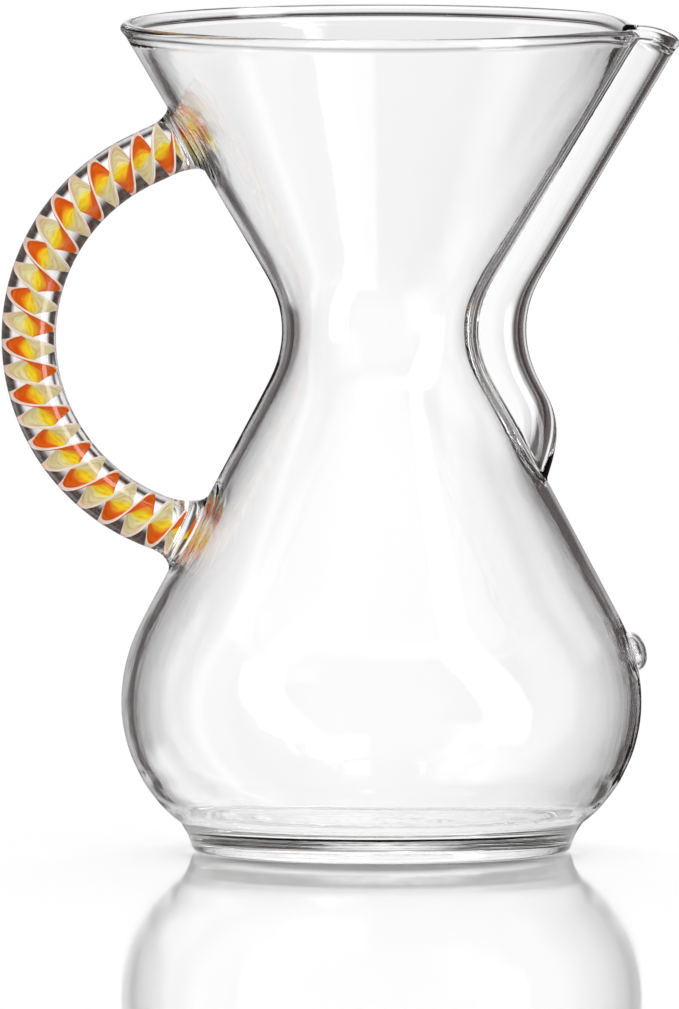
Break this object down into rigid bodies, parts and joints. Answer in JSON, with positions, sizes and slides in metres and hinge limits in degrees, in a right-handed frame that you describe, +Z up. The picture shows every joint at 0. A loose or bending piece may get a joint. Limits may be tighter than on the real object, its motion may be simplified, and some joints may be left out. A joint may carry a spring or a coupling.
{
  "type": "pour-over coffee maker",
  "caption": "Hourglass glass brewer and carafe: open funnel, narrow neck, round bulb on a flat foot, pouring channel on one side and a bent glass handle with a twisted ribbon on the other.",
  "frame": {"origin": "centre of the base, where the vessel's axis meets the surface it stands on", "axes": "+Z up along the vessel's axis, +X towards the pouring channel and spout, -X towards the handle"},
  "size_m": [0.1903, 0.147, 0.2336],
  "materials": {
    "vessel_body": "clear blown glass, fire polished",
    "level_button": "clear glass gob, fire polished",
    "handle_rod": "clear drawn glass, fire polished",
    "upper_weld": "clear melted glass, fire polished",
    "lower_weld": "clear melted glass, fire polished",
    "ribbon_orange": "opaque orange glass",
    "ribbon_yellow": "opaque yellow glass",
    "ribbon_cream": "opaque pale green-cream glass",
    "ribbon_edge_orange_side": "opaque white glass, slightly pink",
    "ribbon_edge_cream_side": "opaque white glass"
  },
  "bodies": {
    "root": {"vessel_body": "vessel_body", "level_button": "level_button", "handle_rod": "handle_rod", "upper_weld": "upper_weld", "lower_weld": "lower_weld", "ribbon_orange": "ribbon_orange", "ribbon_yellow": "ribbon_yellow", "ribbon_cream": "ribbon_cream", "ribbon_edge_orange_side": "ribbon_edge_orange_side", "ribbon_edge_cream_side": "ribbon_edge_cream_side"}
  },
  "joints": []
}
